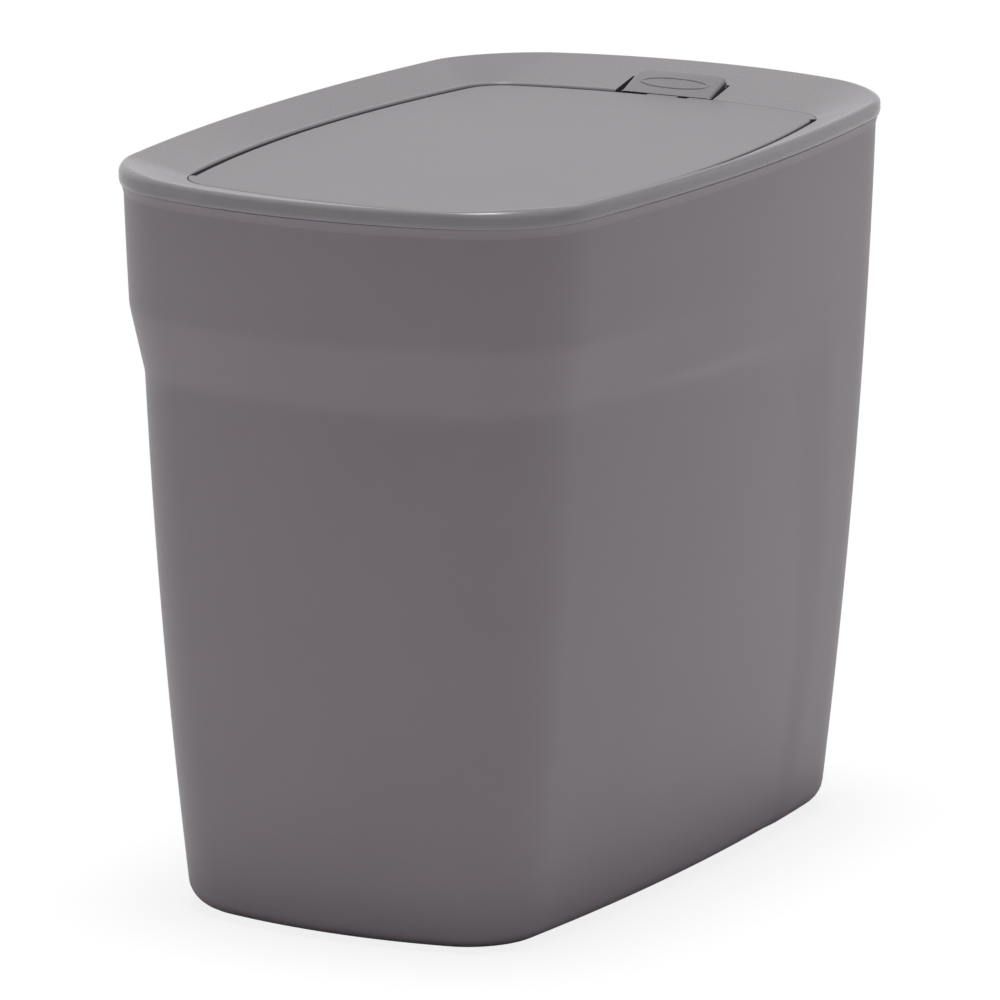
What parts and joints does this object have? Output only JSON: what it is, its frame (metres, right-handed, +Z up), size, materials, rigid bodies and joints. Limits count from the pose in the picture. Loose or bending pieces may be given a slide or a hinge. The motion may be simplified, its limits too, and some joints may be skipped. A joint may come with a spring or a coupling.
{
  "type": "kitchen waste bin",
  "caption": "Slim free-standing kitchen bin with a tapered tub, a dished lid frame and a sprung flap that opens at a push button.",
  "frame": {"origin": "on the floor, under the middle of the lid", "axes": "+Z up, +Y towards the hinge end, so that the button end faces -Y, +X to the right as seen from the button end"},
  "size_m": [0.2066, 0.322, 0.278],
  "materials": {
    "tub_plastic": "satin",
    "lid_plastic": "satin",
    "flap_plastic": "satin",
    "latch_plastic": "satin",
    "steel": "satin"
  },
  "bodies": {
    "tub": {"tub": "tub_plastic"},
    "lid": {"lid_frame": "lid_plastic", "hinge_pin_left": "steel", "hinge_pin_right": "steel", "flap_spring_left": "steel", "flap_spring_right": "steel", "button_pivot_pin": "steel", "latch_housing": "latch_plastic", "latch_screws": "steel", "latch_spring": "steel"},
    "flap": {"flap": "flap_plastic"},
    "button": {"push_button": "lid_plastic"},
    "latch": {"latch_slider": "latch_plastic"}
  },
  "joints": [
    {"name": "lid_lift", "type": "slide", "parent": "tub", "child": "lid", "axis": [0, 0, 1], "range_m": [0, 0.06]},
    {"name": "flap_hinge", "type": "hinge", "parent": "lid", "child": "flap", "pos_m": [0, 0.09906, 0.2652], "axis": [-1, 0, 0], "range_deg": [0, 90], "deforming": ["flap_spring_left", "flap_spring_right"]},
    {"name": "button_press", "type": "hinge", "parent": "lid", "child": "button", "pos_m": [0, -0.1445, 0.27215], "axis": [-1, 0, 0], "range_deg": [0, 8], "stiffness_Nm_per_rad": 0.4, "springref_deg": -2.86},
    {"name": "latch_slide", "type": "slide", "parent": "lid", "child": "latch", "axis": [0, -1, 0], "range_m": [0, 0.0027], "deforming": ["latch_spring"]}
  ],
  "couplings": [
    {"joint": "latch_slide", "follows": "button_press", "m_per_rad": 0.0186}
  ]
}
